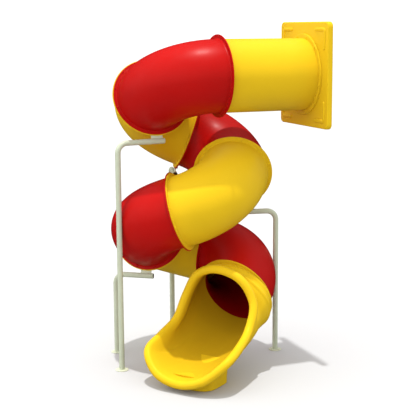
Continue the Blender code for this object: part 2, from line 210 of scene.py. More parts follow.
def make_floor():
    """A level square, almost white to the camera and greyer to every other ray."""
    plane = bpy.data.meshes.new("floor")
    ways = ((-1, -1), (1, -1), (1, 1), (-1, 1))
    plane.from_pydata([(FLOOR_REACH * x, FLOOR_REACH * y, 0.0) for x, y in ways], [], [(0, 1, 2, 3)])
    paint, tree, shader = start_material("floor_paint")
    grey = chosen_by_ray(tree, "Is Camera Ray")
    grey.inputs["A"].default_value = FLOOR_BOUNCE
    grey.inputs["B"].default_value = FLOOR_SHOWN
    tree.links.new(grey.outputs["Result"], shader.inputs["Base Color"])
    shader.inputs["Roughness"].default_value = FLOOR_ROUGHNESS
    shader.inputs["Specular IOR Level"].default_value = 0.0
    plane.materials.append(paint)
    floor = new_object("floor", plane)
    floor.visible_glossy = False


make_sun()
make_floor()
bpy.context.scene.view_settings.view_transform = "Standard"
print("sun strength", SUN_STRENGTH, "over a floor of", 2.0 * FLOOR_REACH, "m")

# %% [markdown]
# ## Finishes
#
# The tube sections are moulded from coloured polyethylene: strong, even pigment, a soft sheen and a
# skin with a very fine orange peel. The pipes and plates are powder coated in a pale green-grey.
# Image textures could carry this, but noise on Object coordinates needs no unwrapping and has the
# same scale on every piece.

# %% Node helpers
NOISE_LOW = 0.3
NOISE_HIGH = 0.7


def scaled_colour(colour, share):
    """Each channel times a share, and at most 1."""
    return tuple(min(1.0, value * share) for value in colour)


def noise(tree, scale, detail):
    """Cloudy values round 0.5, with features about one over scale metres wide."""
    place = tree.nodes.new("ShaderNodeTexCoord")
    made = tree.nodes.new("ShaderNodeTexNoise")
    made.inputs["Scale"].default_value = scale
    made.inputs["Detail"].default_value = detail
    tree.links.new(place.outputs["Object"], made.inputs["Vector"])
    return made.outputs["Fac"]


def spread(tree, source, low, high):
    """Turns the noise's usual range into values from low to high."""
    return map_range(tree, source, NOISE_LOW, NOISE_HIGH, low, high)


def shade_between(tree, source, first, second):
    """Colour that goes from first to second as the source goes through its usual range."""
    made = tree.nodes.new("ShaderNodeValToRGB")
    stops = made.color_ramp.elements
    for stop, position, colour in zip(stops, (NOISE_LOW, NOISE_HIGH), (first, second)):
        stop.position = position
        stop.color = (*colour, 1.0)
    tree.links.new(source, made.inputs["Fac"])
    return made.outputs["Color"]


def roughen(tree, shader, source, distance):
    """Bump of a given height in metres."""
    made = tree.nodes.new("ShaderNodeBump")
    made.inputs["Distance"].default_value = distance
    tree.links.new(source, made.inputs["Height"])
    tree.links.new(made.outputs["Normal"], shader.inputs["Normal"])


print("a colour at half its strength:", scaled_colour((0.8, 0.4, 0.2), 0.5))

# %% [markdown]
# ### Plastic, with painted shade inside
#
# The bores of the tubes and the chute's bowl get painted shade: their colour is made darker and
# more orange to stand for the shade that falls inside them. The mesh of a tube says where its inside is
# by an attribute of its points, and the colour is darker there. A piece without that attribute reads as
# 0 and keeps its full colour.

# %% Moulded plastic
# Painted shade: the colour inside a bore is multiplied by this, most in green and blue
PAINTED_INSIDE_SHADE = (0.47, 0.38, 0.35)
PIGMENT_DRIFT = (0.95, 1.03)
PLASTIC_ROUGHNESS = (0.33, 0.42)
PEEL_HEIGHT = 0.0003
# Each noise is its scale per metre and its number of finer layers
PIGMENT_NOISE = (1.7, 3.0)
WEAR_NOISE = (11.0, 4.0)
PEEL_NOISE = (170.0, 2.0)


def darken_with_painted_shade(tree, colour):
    """Painted shade: multiplies a colour by the inside shade as far as the attribute "inside" says, from 0 to
    1.
    """
    mark = tree.nodes.new("ShaderNodeAttribute")
    mark.attribute_name = "inside"
    mixed = tree.nodes.new("ShaderNodeMixRGB")
    mixed.blend_type = "MULTIPLY"
    mixed.inputs["Color2"].default_value = (*PAINTED_INSIDE_SHADE, 1.0)
    tree.links.new(mark.outputs["Fac"], mixed.inputs["Fac"])
    tree.links.new(colour, mixed.inputs["Color1"])
    return mixed.outputs["Color"]


def moulded_plastic(name, colour, tint, sheen):
    """Pigment that drifts by a few hundredths, a soft sheen that comes and goes, and an orange peel."""
    made, tree, shader = start_material(name)
    darker, lighter = (scaled_colour(colour, share) for share in PIGMENT_DRIFT)
    pigment = shade_between(tree, noise(tree, *PIGMENT_NOISE), darker, lighter)
    # The base colour carries painted shade wherever the mesh marks its inside
    tree.links.new(darken_with_painted_shade(tree, pigment), shader.inputs["Base Color"])
    tree.links.new(spread(tree, noise(tree, *WEAR_NOISE), *PLASTIC_ROUGHNESS), shader.inputs["Roughness"])
    roughen(tree, shader, noise(tree, *PEEL_NOISE), PEEL_HEIGHT)
    shader.inputs["Specular IOR Level"].default_value = sheen
    shader.inputs["Specular Tint"].default_value = (*tint, 1.0)
    return made


yellow = moulded_plastic("moulded_yellow", colour=(0.70, 0.455, 0.0125), tint=(1.0, 0.8, 0.2), sheen=0.15)
red = moulded_plastic("moulded_red", colour=(0.42, 0.0034, 0.0026), tint=(1.0, 0.85, 0.8), sheen=0.12)
PLASTICS = {"red": red, "yellow": yellow}
print("plastics:", ", ".join(PLASTICS))

# %% [markdown]
# ### Coated and plated steel
#
# Powder coat melts into a satin skin with a very fine grain. Zinc plating shows its crystals as small
# patches of lighter and darker grey. In each pipe's open end a near-black disc is painted shade that
# stands for the dark inside of the pipe, and the coat's recipe serves for it too.

# %% Powder coat, zinc and the painted shade in the pipes' ends
COAT_THIN_SHARE = 0.93
COAT_ROUGHNESS = (0.38, 0.50)
COAT_SHEEN = 0.4
GRAIN_HEIGHT = 0.0001
COAT_NOISE = (14.0, 4.0)
SATIN_NOISE = (40.0, 3.0)
GRAIN_NOISE = (900.0, 2.0)
CRYSTAL_DARK_SHARE = 0.75
ZINC_ROUGHNESS = (0.30, 0.48)
ZINC_METALLIC = 0.9
CRYSTAL_NOISE = (260.0, 3.0)
CRYSTAL_SHEEN_NOISE = (180.0, 2.0)


def powder_coat(name, colour):
    """Satin coat whose grain shows as tiny bumps, a little darker where it is thin."""
    made, tree, shader = start_material(name)
    shade = shade_between(tree, noise(tree, *COAT_NOISE), scaled_colour(colour, COAT_THIN_SHARE), colour)
    tree.links.new(shade, shader.inputs["Base Color"])
    tree.links.new(spread(tree, noise(tree, *SATIN_NOISE), *COAT_ROUGHNESS), shader.inputs["Roughness"])
    roughen(tree, shader, noise(tree, *GRAIN_NOISE), GRAIN_HEIGHT)
    shader.inputs["Specular IOR Level"].default_value = COAT_SHEEN
    return made


def zinc_plate(name, colour):
    """Dull plated steel with crystal patches."""
    made, tree, shader = start_material(name)
    crystals = noise(tree, *CRYSTAL_NOISE)
    shade = shade_between(tree, crystals, scaled_colour(colour, CRYSTAL_DARK_SHARE), colour)
    tree.links.new(shade, shader.inputs["Base Color"])
    dulling = noise(tree, *CRYSTAL_SHEEN_NOISE)
    tree.links.new(spread(tree, dulling, *ZINC_ROUGHNESS), shader.inputs["Roughness"])
    shader.inputs["Metallic"].default_value = ZINC_METALLIC
    return made


post_coat = powder_coat("post_coat", (0.52, 0.56, 0.42))
plate_coat = powder_coat("plate_coat", (0.60, 0.62, 0.46))
zinc = zinc_plate("zinc", (0.62, 0.62, 0.60))
# Painted shade: a near-black colour standing for the shaded inside of the pipes' open ends
open_end_shade = powder_coat("open_end_shade", (0.035, 0.024, 0.016))
print("finishes in all:", len((yellow, red, post_coat, plate_coat, zinc, open_end_shade)))

# %% [markdown]
# ## Surfaces from two parameters
#
# Almost everything here is round or swept, so one idea makes it all: a closed outline is carried
# along a path, and the rings that it leaves behind are joined into squares. The arrays hold all the
# points of a piece at once, so there is no loop over vertices.

# %% Squares between rings
def squares(rows, columns, wrap_rows):
    """Point numbers of each square: it joins a row to the next and a column to the next one round."""
    row, column = np.meshgrid(np.arange(rows if wrap_rows else rows - 1), np.arange(columns), indexing="ij")
    below = (row + 1) % rows
    beside = (column + 1) % columns
    corners = (row * columns + column, row * columns + beside,
               below * columns + beside, below * columns + column)
    return np.stack(corners, axis=-1).reshape(-1, 4)


def enclosed_volume(points, faces):
    """Sum of the signed volumes of the pyramids from one point to the two halves of every square."""
    first, second, third, fourth = (points[faces[:, i]] - points[0] for i in range(4))
    return ((np.cross(first, second) * third).sum() + (np.cross(first, third) * fourth).sum()) / 6.0


def wrap_up(rings, wrap_rows):
    """Points and outward squares of one closed shape given as rings of points."""
    rows, columns = rings.shape[:2]
    points = rings.reshape(-1, 3)
    faces = squares(rows, columns, wrap_rows)
    if enclosed_volume(points, faces) < 0.0:
        faces = faces[:, ::-1]
    return points, faces


def join_shapes(shapes):
    """Puts several closed shapes into one list of points and squares."""
    starts = np.cumsum([0] + [len(shape[0]) for shape in shapes[:-1]])
    points = np.concatenate([shape[0] for shape in shapes])
    faces = np.concatenate([shape[1] + start for start, shape in zip(starts, shapes)])
    return points, faces


print("four open rings of six points make", len(squares(4, 6, False)), "squares")

# %% [markdown]
# ### From arrays to an object
#
# Every piece ends the same way: its arrays become a mesh, the points that meet at a pole are joined,
# edges sharper than 40 degrees stay crisp, the piece hangs from the root body, and the imported nodes
# that it stands for are hidden.

# %% A finished piece
SHARP_ANGLE = math.radians(40.0)
SEAL_DISTANCE = 0.00001


def finished_piece(name, shape, slot, finish, *nodes, inside=None):
    """Makes the mesh, seals its poles, shades it smooth and lets it ride in place of its nodes.

    inside says how much painted shade each ring of points gets: 1 in a bore and 0 on the outer skin.
    """
    points, faces = shape
    mesh = bpy.data.meshes.new(name)
    mesh.from_pydata(points.tolist(), [], faces.tolist())
    # The attribute "inside" carries the weight of the painted shade to the material
    if inside is not None:
        mark = mesh.attributes.new("inside", "FLOAT", "POINT")
        mark.data.foreach_set("value", np.repeat(inside, len(points) // len(inside)).astype(np.float32))
    work = bmesh.new()
    work.from_mesh(mesh)
    bmesh.ops.remove_doubles(work, verts=work.verts, dist=SEAL_DISTANCE)
    work.to_mesh(mesh)
    work.free()
    mesh.shade_smooth()
    mesh.set_sharp_from_angle(angle=SHARP_ANGLE)
    mesh.materials.append(finish)
    piece = new_object(name, mesh)
    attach(piece, "root")
    if nodes:
        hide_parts(*nodes)
    print(f"{name}: {len(mesh.polygons)} faces")
    return piece


# %% [markdown]
# ### Outlines with round corners
#
# A moulded or pressed edge is never quite sharp. An outline is written as its corner points, each
# with a radius, and the corners are then turned into arcs. A Bevel modifier could do this on the
# finished mesh, but rounding the outline first keeps the squares even all the way round.

# %% Rounding and refining an outline
ARC_STEPS = 6


def round_corners(corners, radii, closed=True, steps=ARC_STEPS):
    """Replaces each corner by an arc that touches both of its sides."""
    corners = np.asarray(corners, float)
    pieces = []
    last = len(corners) - 1
    for number, (corner, radius) in enumerate(zip(corners, radii)):
        if radius == 0.0 or (not closed and number in (0, last)):
            pieces.append(corner[None])
            continue
        back = corners[number - 1] - corner
        ahead = corners[(number + 1) % len(corners)] - corner
        back /= np.linalg.norm(back)
        ahead /= np.linalg.norm(ahead)
        half_angle = 0.5 * math.acos(float(np.clip(back @ ahead, -1.0, 1.0)))
        middle = corner + radius / math.sin(half_angle) * (back + ahead) / np.linalg.norm(back + ahead)
        first = corner + radius / math.tan(half_angle) * back - middle
        second = corner + radius / math.tan(half_angle) * ahead - middle
        sweep = math.pi - 2.0 * half_angle
        share = np.linspace(0.0, 1.0, steps + 1)[:, None]
        arc = (np.sin((1.0 - share) * sweep) * first + np.sin(share * sweep) * second) / math.sin(sweep)
        pieces.append(middle + arc)
    return np.concatenate(pieces)


def refine(outline, longest, closed=True):
    """Cuts every side that is longer than the given length into equal parts."""
    ends = np.roll(outline, -1, axis=0) if closed else outline[1:]
    starts = outline if closed else outline[:-1]
    parts = np.maximum(1, np.ceil(np.linalg.norm(ends - starts, axis=1) / longest)).astype(int)
    number = np.repeat(np.arange(len(starts)), parts)
    share = (np.arange(len(number)) - np.repeat(np.cumsum(parts) - parts, parts)) / parts[number]
    fine = starts[number] + share[:, None] * (ends - starts)[number]
    return fine if closed else np.concatenate([fine, outline[-1:]])


example_corners = round_corners([(0, 0), (1, 0), (1, 1), (0, 1)], [0.1] * 4)
print("a square with its corners rounded has", len(example_corners), "points")

# %% [markdown]
# ### A path with one bend
#
# A tube section, a pipe and a straight sleeve all follow the same kind of line: straight, then a round
# bend in one plane, then straight again. The line hands back a centre and the two directions across
# it, so any outline given as distances and radii can be turned into rings.

# %% Carrying an outline along a bent path
def bent_path(start, heading, inward, lead, radius, bend):
    """A line that runs straight for lead, bends towards inward by an angle and runs straight on.

    On the bend the heading has turned by the distance into it over its radius.
    """
    side = np.cross(heading, inward)

    def place(distance):
        """Centres at these distances, the way across each in the bend's plane, and the way square to it."""
        angle = np.clip((distance - lead) / radius, 0.0, bend)[:, None]
        before = np.minimum(distance, lead)[:, None]
        after = np.maximum(distance - lead - radius * bend, 0.0)[:, None]
        ahead = np.cos(angle) * heading + np.sin(angle) * inward
        across = np.cos(angle) * inward - np.sin(angle) * heading
        arc = radius * (np.sin(angle) * heading + (1.0 - np.cos(angle)) * inward)
        return start + before * heading + arc + after * ahead, across, side

    return place


def straight_path(start, heading, inward):
    """The same line without a bend."""
    return bent_path(start, heading, inward, 0.0, 1.0, 0.0)


def full_turn(count):
    """Evenly spaced angles once round. The last is left out, because it is the first again."""
    return np.linspace(0.0, 2.0 * math.pi, count, endpoint=False)


def carried_round(outline, place, sides):
    """Each outline point is a distance along the path and a radius, and leaves a circle there.

    A point of the circle is the centre plus the radius times cosine across and sine to the side.
    """
    centre, across, side = place(outline[:, 0])
    angle = full_turn(sides)[None, :, None]
    spokes = np.cos(angle) * across[:, None, :] + np.sin(angle) * side
    return centre[:, None, :] + outline[:, 1, None, None] * spokes


example_path = bent_path(np.zeros(3), *np.eye(3)[:2], 1.0, 1.0, 0.5 * math.pi)
example_end = example_path(np.array([1.0 + 0.5 * math.pi]))[0]
print("a metre ahead and a quarter bend lead to", example_end[0].round(3))

# %% [markdown]
# ## The spiral's joints
#
# The seven bends are one moulding used seven times. Each bends in a plane of its own, and the spiral
# comes from how far each is turned in its flange before it is bolted up. So the whole route follows
# from seven twist angles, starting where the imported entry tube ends.

# %% Following the bends down
TUBE_OUTER_RADIUS = 0.390
TUBE_INNER_RADIUS = 0.380
FLANGE_RADIUS = 0.438
LOWER_FLANGE_RADIUS = 0.429
FLANGE_THICKNESS = 0.011
ELBOW_BEND = math.radians(92.2)
ELBOW_RADIUS = 0.552
ELBOW_TWISTS = [math.radians(angle) for angle in (24.0, 24.5, 48.5, 41.0, 41.0, 27.5, 44.5)]
UP = np.array([0.0, 0.0, 1.0])
TO_PANEL = np.array([1.0, 0.0, 0.0])
FROM_PANEL = np.array([-1.0, 0.0, 0.0])
ALONG_PANEL = np.array([0.0, 1.0, 0.0])


def unit(vector):
    """The vector divided by its length."""
    return vector / np.linalg.norm(vector)


def spiral_joints():
    """Each joint's centre, heading and the next section's bend direction.

    A twist turns the bend direction about the heading. The bend then turns both by its angle, and
    the centre moves on by the two flanges and by the chord of the arc between them.
    """
    centre = FIRST_JOINT
    heading = FROM_PANEL
    inward = ALONG_PANEL
    found = []
    for twist in ELBOW_TWISTS:
        inward = math.cos(twist) * inward + math.sin(twist) * np.cross(heading, inward)
        found.append((centre, heading, inward))
        turned_heading = math.cos(ELBOW_BEND) * heading + math.sin(ELBOW_BEND) * inward
        turned_inward = math.cos(ELBOW_BEND) * inward - math.sin(ELBOW_BEND) * heading
        chord = math.sin(ELBOW_BEND) * heading + (1.0 - math.cos(ELBOW_BEND)) * inward
        centre = centre + FLANGE_THICKNESS * (heading + turned_heading) + ELBOW_RADIUS * chord
        heading, inward = turned_heading, turned_inward
    found.append((centre, heading, inward))
    return found


joints = spiral_joints()
last_joint = joints[-1][0]
print("last joint at", last_joint.round(3), "after a drop of", (FIRST_JOINT - last_joint)[2].round(3))

# %% [markdown]
# ## Tube bends
#
# A real bend is a shell about ten millimetres thick with a flange at both ends and a small round
# where flange and tube meet. The lower flange is a little smaller, so a thin rim of the next piece
# shows round it. The outline holds distances along the bend and radii, goes up one flange, along the
# outside, round the other flange and back through the bore, and is carried round.

# %% The seven bends
FLANGE_EDGE = 0.0025
FLANGE_FILLET = 0.012
BORE_EDGE = 0.002
LONG_STEP = 0.016
TUBE_SIDES = 112
ELBOW_LENGTH = 2.0 * FLANGE_THICKNESS + ELBOW_RADIUS * ELBOW_BEND
MIDDLE_RADIUS = 0.5 * (TUBE_INNER_RADIUS + TUBE_OUTER_RADIUS)


def section_outline(length):
    """Shell with a flange at both ends, as distance along the path and radius."""
    near, far = GAP / 2, length - GAP / 2
    near_back, far_back = FLANGE_THICKNESS, length - FLANGE_THICKNESS
    corners = [(near, TUBE_INNER_RADIUS), (near, FLANGE_RADIUS), (near_back, FLANGE_RADIUS),
               (near_back, TUBE_OUTER_RADIUS), (far_back, TUBE_OUTER_RADIUS), (far_back, LOWER_FLANGE_RADIUS),
               (far, LOWER_FLANGE_RADIUS), (far, TUBE_INNER_RADIUS)]
    half = [BORE_EDGE, FLANGE_EDGE, FLANGE_EDGE, FLANGE_FILLET]
    return refine(round_corners(corners, half + half[::-1]), LONG_STEP)


def section_colour(number):
    """Red for the odd bends, and yellow for the even ones, the entry tube (0) and the chute (8)."""
    return "red" if number % 2 == 1 else "yellow"


bend_outline = section_outline(ELBOW_LENGTH)
for number, (centre, heading, inward) in enumerate(joints[:-1], start=1):
    path = bent_path(centre, heading, inward, FLANGE_THICKNESS, ELBOW_RADIUS, ELBOW_BEND)
    bend = wrap_up(carried_round(bend_outline, path, TUBE_SIDES), True)
    colour = section_colour(number)
    # Painted shade on the bore's rings, none on the outer skin and flanges
    finished_piece(f"tube_bend_{number}", bend, f"{colour}_plastic", PLASTICS[colour],
                   f"elbow_{number}", inside=bend_outline[:, 1] < MIDDLE_RADIUS)

# %% [markdown]
# ### The straight entry tube
#
# The tube between the panel and the first bend is a plain length with no flange of its own. A
# Solidify modifier on a cylinder would give it a wall. A rectangle carried round gives the wall too,
# with rounded ends.

# %% The entry tube
def sleeve_outline(length, inner, outer, radii, steps=ARC_STEPS):
    """A rectangle of a given length between two radii, each of its four corners rounded."""
    corners = [(0.0, inner), (0.0, outer), (length, outer), (length, inner)]
    return refine(round_corners(corners, radii, steps=steps), LONG_STEP)


ENTRY_LENGTH = tube_high[0] - tube_low[0]
entry_outline = sleeve_outline(ENTRY_LENGTH, TUBE_INNER_RADIUS, TUBE_OUTER_RADIUS, [BORE_EDGE] * 4)
entry_path = straight_path(on_entry_axis(tube_low[0]), TO_PANEL, ALONG_PANEL)
# Painted shade on the bore's rings, none on the outer skin
finished_piece("straight_entry", wrap_up(carried_round(entry_outline, entry_path, TUBE_SIDES), True),
               "yellow_plastic", yellow, "entry_tube", inside=entry_outline[:, 1] < MIDDLE_RADIUS)

# %% [markdown]
# ## Entrance panel
#
# The panel is a hollow moulding about sixty millimetres thick, with generous rounds on every edge, a
# raised L in each corner to stiffen it, and a flat ring that clamps the tube. A square could be
# bevelled and cut by a Boolean. Here the square's outline and the round hole are two ends of the
# same spokes, so the front, the edge and the back are one clean sheet of squares.

# %% The square plate
PANEL_CORNER_RADIUS = 0.055
PANEL_EDGE_RADIUS = 0.016
PANEL_COLUMNS = 320
PANEL_EDGE_STEPS = 6
collar_low, collar_high = (np.array(corner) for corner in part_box("entry_collar"))
PANEL_FRONT = collar_high[0] + GAP
PANEL_BACK = panel_high[0]
PANEL_HALF = 0.5 * (panel_high[1] - panel_low[1])


def rounded_square(half, corner, columns):
    """Walks round the square by arc length. Returns the points and the outward directions there."""
    straight = 2.0 * (half - corner)
    quarter = straight + 0.5 * math.pi * corner
    along = np.arange(columns) / columns * 4.0 * quarter
    part = along % quarter
    angle = np.maximum(part - straight, 0.0) / corner
    flat = np.stack([half - corner + corner * np.cos(angle),
                     np.minimum(part, straight) - 0.5 * straight + corner * np.sin(angle)], axis=1)
    out = np.stack([np.cos(angle), np.sin(angle)], axis=1)
    turn = (along // quarter) * 0.5 * math.pi
    cos, sin = np.cos(turn)[:, None], np.sin(turn)[:, None]

    def turned(pairs):
        """The pairs turned by a quarter for each corner passed."""
        first, second = pairs[:, :1], pairs[:, 1:]
        return np.concatenate([first * cos - second * sin, first * sin + second * cos], axis=1)

    return turned(flat), turned(out)


def edge_round(radius, steps):
    """A quarter circle, as how far in from the side and how far back from the face it lies."""
    turn = np.linspace(0.0, 0.5 * math.pi, steps + 1)
    return radius * (1.0 - np.sin(turn)), radius * (1.0 - np.cos(turn))


def panel_rings():
    """Rings from the hole's front edge out, round the rim and back to the hole's back edge."""
    outline, outward = rounded_square(PANEL_HALF, PANEL_CORNER_RADIUS, PANEL_COLUMNS)
    angle = np.arctan2(outline[:, 1], outline[:, 0])
    hole = TUBE_INNER_RADIUS * np.stack([np.cos(angle), np.sin(angle)], axis=1)
    inset, depth = edge_round(PANEL_EDGE_RADIUS, PANEL_EDGE_STEPS)
    rims = [(PANEL_FRONT + d, outline - i * outward) for d, i in zip(depth, inset)]
    rims += [(PANEL_BACK - d, outline - i * outward) for d, i in zip(depth[::-1], inset[::-1])]
    levels = [(PANEL_FRONT, hole)] + rims + [(PANEL_BACK, hole)]
    return np.array([np.column_stack([np.full(PANEL_COLUMNS, x), flat + PANEL_MIDDLE[1:]])
                     for x, flat in levels])


finished_piece("entrance_plate", wrap_up(panel_rings(), True), "yellow_plastic", yellow, "entrance_panel")

# %% [markdown]
# ### Corner ribs
#
# Each rib is a low L that stiffens a corner of the hollow panel. A curve with a bevel could draw it,
# but with blunt ends. Here its section is half a superellipse, flatter on top than a circle, and it
# narrows to a round at both ends, as the mould's cutter leaves it.

# %% Raised corner ribs
RIB_INSET = 0.062
RIB_LEG = 0.232
RIB_WIDTH = 0.040
RIB_HEIGHT = 0.011
RIB_SINK = 0.004
RIB_BEND = 0.022
RIB_SQUARENESS = 2.2
RIB_ROUND = 28
RIB_ALONG = 72


def rib_rings(quarter):
    """A half pillow carried along an L: a superellipse across, narrowing to a round at both ends."""
    turn = quarter * 0.5 * math.pi
    first = np.array([0.0, math.cos(turn), math.sin(turn)])
    second = np.array([0.0, -math.sin(turn), math.cos(turn)])
    middle_line = PANEL_HALF - RIB_INSET - 0.5 * RIB_WIDTH
    corner = on_entry_axis(PANEL_FRONT) + middle_line * (first + second)
    leg = RIB_LEG - 0.5 * RIB_WIDTH
    lead = leg - RIB_BEND
    place = bent_path(corner - leg * first, first, -second, lead, RIB_BEND, 0.5 * math.pi)
    length = 2.0 * lead + 0.5 * math.pi * RIB_BEND
    along = 0.5 * length * (1.0 - np.cos(np.linspace(0.0, math.pi, RIB_ALONG)))
    centre, across, side = place(along)
    from_end = np.minimum(along, length - along)
    narrow = np.sqrt(1.0 - np.clip(1.0 - from_end / (0.5 * RIB_WIDTH), 0.0, 1.0) ** 2)
    angle = full_turn(RIB_ROUND)
    power = 2.0 / RIB_SQUARENESS
    wide = 0.5 * RIB_WIDTH * np.sign(np.cos(angle)) * np.abs(np.cos(angle)) ** power
    high = np.abs(np.sin(angle)) ** power * np.where(np.sin(angle) > 0.0, RIB_HEIGHT, -RIB_SINK)
    return (centre[:, None, :] + (narrow[:, None] * wide)[:, :, None] * across[:, None, :]
            + (np.sqrt(narrow)[:, None] * high)[:, :, None] * FROM_PANEL)


ribs = [wrap_up(rib_rings(quarter), False) for quarter in range(4)]
finished_piece("panel_ribs", join_shapes(ribs), "yellow_plastic", yellow)

# %% [markdown]
# ### Clamp ring
#
# The entry tube has no flange at the panel. A flat ring round it is bolted to the panel instead, with a
# rounded outer edge, and is made like a very short tube.

# %% The ring that clamps the tube
COLLAR_EDGE = 0.006
COLLAR_THICKNESS = collar_high[0] - collar_low[0]
collar_outline = sleeve_outline(COLLAR_THICKNESS, TUBE_OUTER_RADIUS + GAP, FLANGE_RADIUS,
                                [BORE_EDGE, COLLAR_EDGE, BORE_EDGE, BORE_EDGE])
collar_path = straight_path(on_entry_axis(collar_low[0]), TO_PANEL, ALONG_PANEL)
finished_piece("clamp_ring", wrap_up(carried_round(collar_outline, collar_path, TUBE_SIDES), True),
               "yellow_plastic", yellow, "entry_collar")

# %% [markdown]
# ## Exit chute
#
# The last moulding opens from a round flange into a scoop. Its rim runs from the top of the hood,
# down both sides and round the lip, and ends in a thick roll that a child can hold and sit on. Two
# rings of ridges stiffen it behind the hood. Such a scoop could be sculpted, but a formula keeps its
# wall even. Each column of the surface starts on the flange and flows, as a Hermite curve, to its own
# place on the rim.

# %% The rim's line
# Forward, sideways and up from the last joint, from the top of the hood to the middle of the lip
EXIT_RIM = np.array([
    (0.405, 0.000, 0.335),
    (0.370, 0.270, 0.240),
    (0.365, 0.420, -0.005),
    (0.520, 0.450, -0.245),
    (0.780, 0.480, -0.370),
    (1.050, 0.470, -0.475),
    (1.175, 0.280, -0.650),
    (1.195, 0.000, -0.720),
])
EXIT_COLUMNS = 240
RIM_SAMPLES = 1200


def smooth_through(stations, place):
    """Cubic curve through evenly spaced stations whose ends mirror across the middle plane.

    Its slope at each station is half the step between the station's two neighbours.
    """
    mirror = np.array([1.0, -1.0, 1.0])
    points = np.vstack([stations[1] * mirror, stations, stations[-2] * mirror])
    scaled = np.clip(place, 0.0, 1.0) * (len(stations) - 1)
    index = np.minimum(scaled.astype(int), len(stations) - 2)
    part = (scaled - index)[:, None]
    before, start, end, after = (points[index + i] for i in range(4))
    return 0.5 * (2.0 * start + (end - before) * part
                  + (2.0 * before - 5.0 * start + 4.0 * end - after) * part ** 2
                  + (3.0 * start - before - 3.0 * end + after) * part ** 3)


def rim_line():
    """The whole rim, with its length shared evenly by the columns, from the lip's middle round."""
    fine = np.linspace(0.0, 1.0, RIM_SAMPLES)
    steps = np.linalg.norm(np.diff(smooth_through(EXIT_RIM, fine), axis=0), axis=1)
    run = np.concatenate([[0.0], np.cumsum(steps)])
    half = EXIT_COLUMNS // 2
    places = np.interp(np.linspace(run[-1], 0.0, half + 1), run, fine)
    column = np.arange(EXIT_COLUMNS)
    rim = smooth_through(EXIT_RIM, places[np.minimum(column, EXIT_COLUMNS - column)])
    rim[:, 1] *= np.where(column > half, -1.0, 1.0)
    return rim


rim_shape = rim_line()
print("the rim's length, width and height:", np.ptp(rim_shape, axis=0).round(3))

# %% [markdown]
# ### How each column flows
#
# A column leaves the flange along the tube's heading, bulges at the sides, and arrives at the rim in the
# direction of the roll there. Both ends pull on the curve like the handles of a Bezier curve, and the
# pulls change smoothly round the flange, so neighbouring columns stay side by side.

# %% The chute's own directions and columns
WALL = 0.010
SIDE_BULGE = 0.42
FLOOR_DEPARTURE = 1.5
HOOD_ARRIVAL = 0.6
FLOOR_ARRIVAL = 1.0
LIP_POWER = 3
RIM_ROLL_RADIUS = 0.047
RIM_FLARE = math.radians(30.0)
LIP_LIFT = math.radians(22.0)
exit_centre, exit_heading = joints[-1][:2]
forward = unit(np.array([exit_heading[0], exit_heading[1], 0.0]))
sideways = np.cross(UP, forward)
down = unit(np.cross(sideways, exit_heading))
down = -down if down[2] > 0.0 else down


def unit_rows(vectors):
    """Vectors along the last axis, scaled to length one."""
    return vectors / np.linalg.norm(vectors, axis=-1, keepdims=True)


round_angle = full_turn(EXIT_COLUMNS)[:, None]
outward = np.cos(round_angle) * down + np.sin(round_angle) * sideways
wall_start = exit_centre + MIDDLE_RADIUS * outward
rim = exit_centre + rim_shape @ np.array([forward, sideways, UP])
along_rim = unit_rows(np.roll(rim, -1, axis=0) - np.roll(rim, 1, axis=0))
edge = unit_rows(np.cross(outward, along_rim))
edge *= np.sign((edge @ forward)[0])
wall_out = unit_rows(np.cross(along_rim, edge))
wall_out *= np.sign((wall_out * outward).sum(axis=1))[:, None]
floorward = 0.5 * (1.0 + np.cos(round_angle))
lipward = floorward ** LIP_POWER
sideward = np.sin(round_angle) ** 2
flare = (1.0 - floorward) * RIM_FLARE - lipward * LIP_LIFT
arrive = np.cos(flare) * edge + np.sin(flare) * wall_out
across_rim = np.cos(flare) * wall_out - np.sin(flare) * edge
wall_end = rim - (RIM_ROLL_RADIUS - 0.5 * WALL) * across_rim
reach = np.linalg.norm(wall_end - wall_start, axis=1)[:, None]
leave_strength = (1.0 + (FLOOR_DEPARTURE - 1.0) * lipward) * reach
arrive_strength = (HOOD_ARRIVAL + (FLOOR_ARRIVAL - HOOD_ARRIVAL) * lipward) * reach
leave_pull = leave_strength * (exit_heading + SIDE_BULGE * sideward * outward)
arrive_pull = arrive_strength * arrive
print("the wall reaches from", reach.min().round(3), "to", reach.max().round(3), "m")


def wall_row(share):
    """Hermite curve from the flange to the roll's inner side, at one share of its way."""
    t = np.broadcast_to(share, reach.shape)
    return ((2 * t ** 3 - 3 * t ** 2 + 1) * wall_start + (t ** 3 - 2 * t ** 2 + t) * leave_pull
            + (3 * t ** 2 - 2 * t ** 3) * wall_end + (t ** 3 - t ** 2) * arrive_pull)


# %% [markdown]
# ### The collar behind the hood
#
# The wall has one thickness nearly everywhere. Only behind the flange does its outer skin stand
# further out: the collar swells there at both sides, and two rings of ridges run round it. Displacing
# the outer skin along its normals gives both, and leaves the bowl smooth.

# %% The wall and how far its collar stands out
RIDGE_HEIGHT = 0.013
RIDGE_DISTANCES = (0.048, 0.114)
RIDGE_HALF_WIDTH = 0.026
COLLAR_SWELL = 0.045
COLLAR_FALL = (0.116, 0.245)
NEAR_ROWS = 48
FAR_ROWS = 44
ROLL_FILLET_RUN = 0.095
FILLET_STEPS = 10


